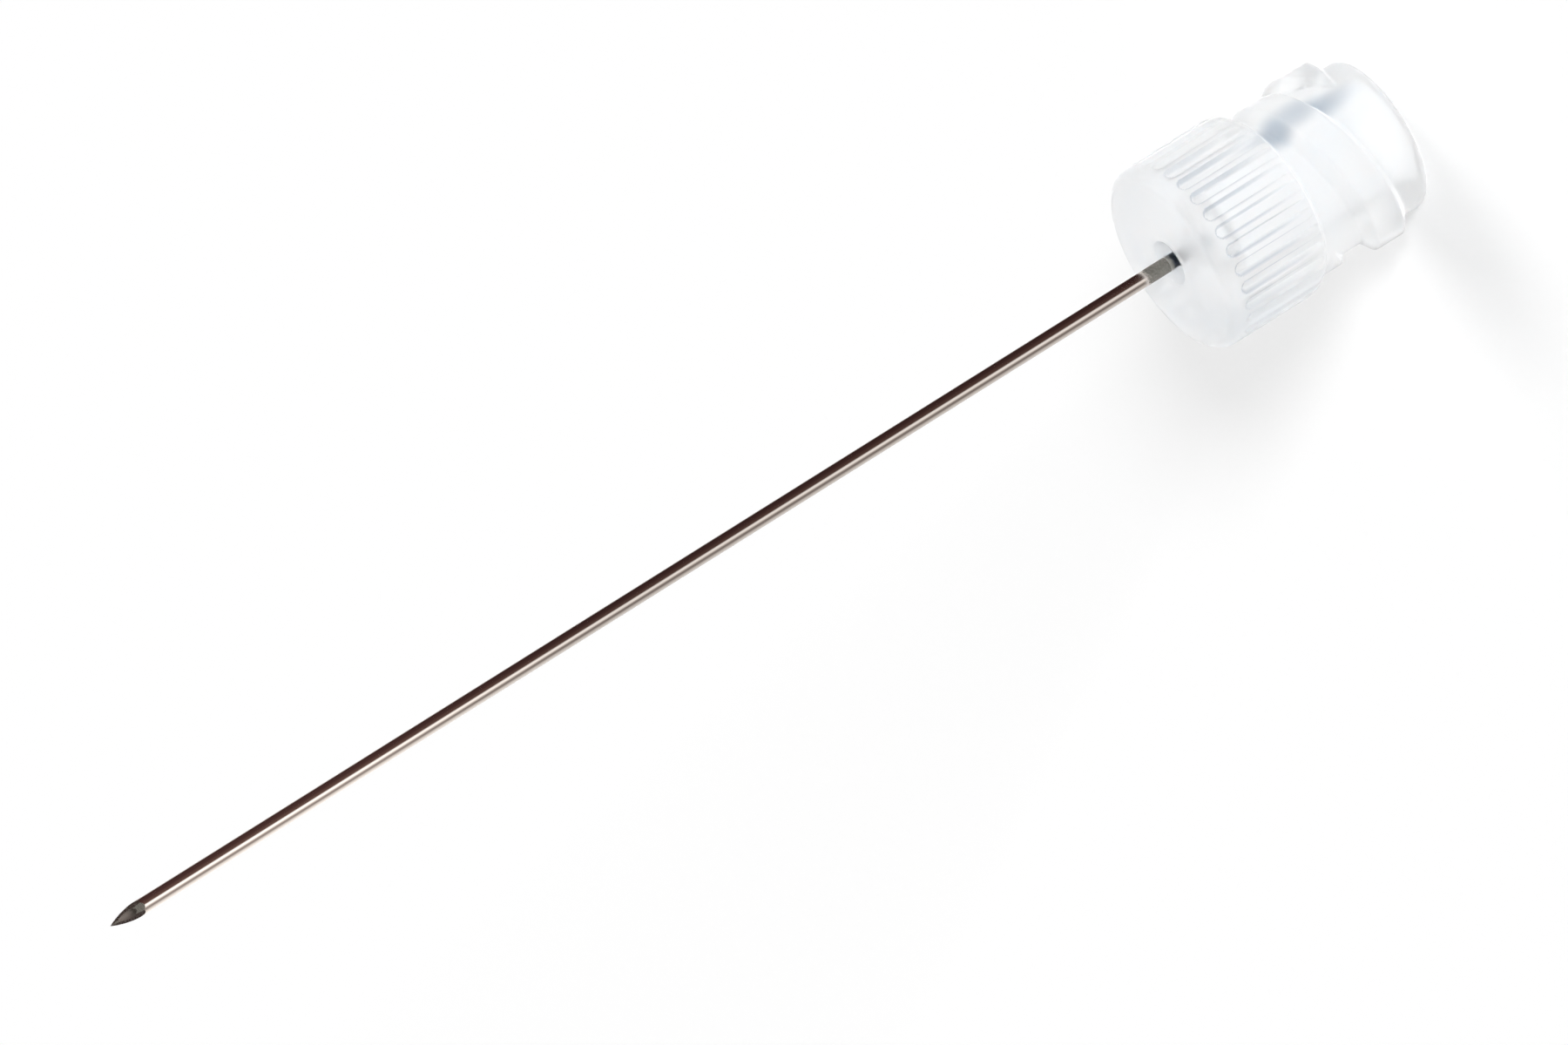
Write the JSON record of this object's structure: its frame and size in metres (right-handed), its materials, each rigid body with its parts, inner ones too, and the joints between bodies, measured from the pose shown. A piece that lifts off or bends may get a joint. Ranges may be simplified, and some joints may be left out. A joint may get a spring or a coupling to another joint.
{
  "type": "medical needle",
  "caption": "Hypodermic needle stood on its hub: a slim bevel-ground steel cannula bonded into a frosted plastic hub with a fluted grip and a luer-lock thread.",
  "frame": {"origin": "in the middle of the mouth of the hub, on the surface that the needle stands on", "axes": "+Z along the needle's own axis, from the mouth of the hub towards the point; the bevel of the point faces -Y"},
  "size_m": [0.0082, 0.0082, 0.0624],
  "materials": {
    "polypropylene": "natural, frosted, lets light through",
    "stainless_steel": "drawn tube, bright, with fine lines along it",
    "epoxy": "clear, cured"
  },
  "bodies": {
    "root": {"hub": "polypropylene", "cannula": "stainless_steel", "adhesive": "epoxy"}
  },
  "joints": []
}
